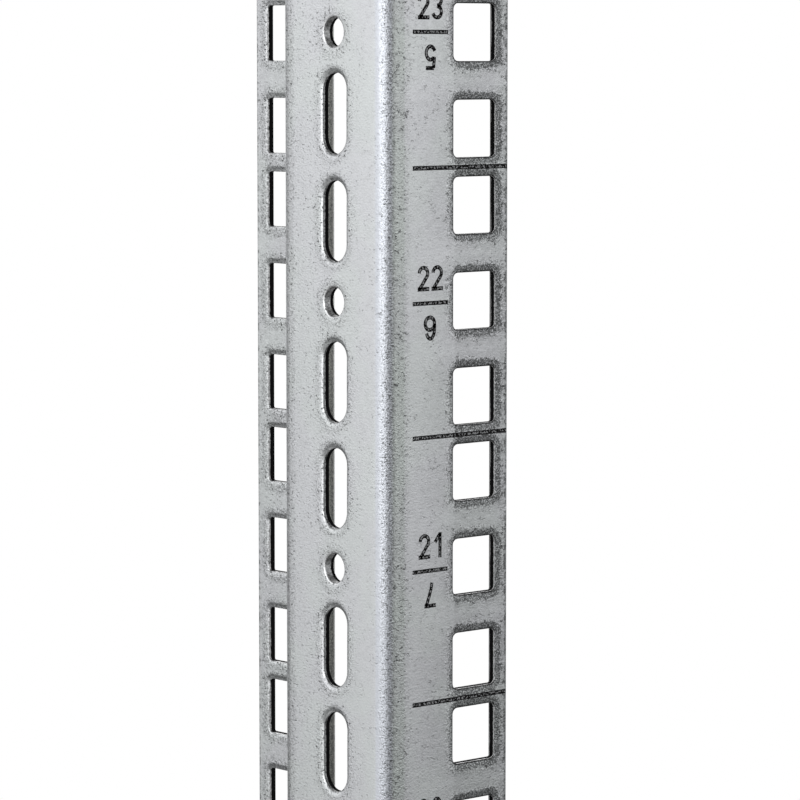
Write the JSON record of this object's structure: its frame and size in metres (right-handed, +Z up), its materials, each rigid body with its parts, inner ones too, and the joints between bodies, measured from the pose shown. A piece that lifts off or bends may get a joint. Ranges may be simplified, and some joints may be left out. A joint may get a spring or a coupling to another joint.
{
  "type": "rack support rail",
  "caption": "Upright rail for a 19-inch rack, folded from punched zinc-coated sheet steel, with square cage-nut holes in two flanges and fixing slots in the web.",
  "frame": {"origin": "on the web's outer face, on the centre line of its holes, at half the rail's length", "axes": "+Z up the rail, -Y out of the front flange's outer face, -X out of the web's outer face"},
  "size_m": [0.0275, 0.0463, 1.2202],
  "materials": {
    "zinc_sheet": "dull galvanised zinc with a fine speckle",
    "print": "matt black ink of the unit numbers and lines"
  },
  "bodies": {
    "root": {"rail": "zinc_sheet"}
  },
  "joints": []
}
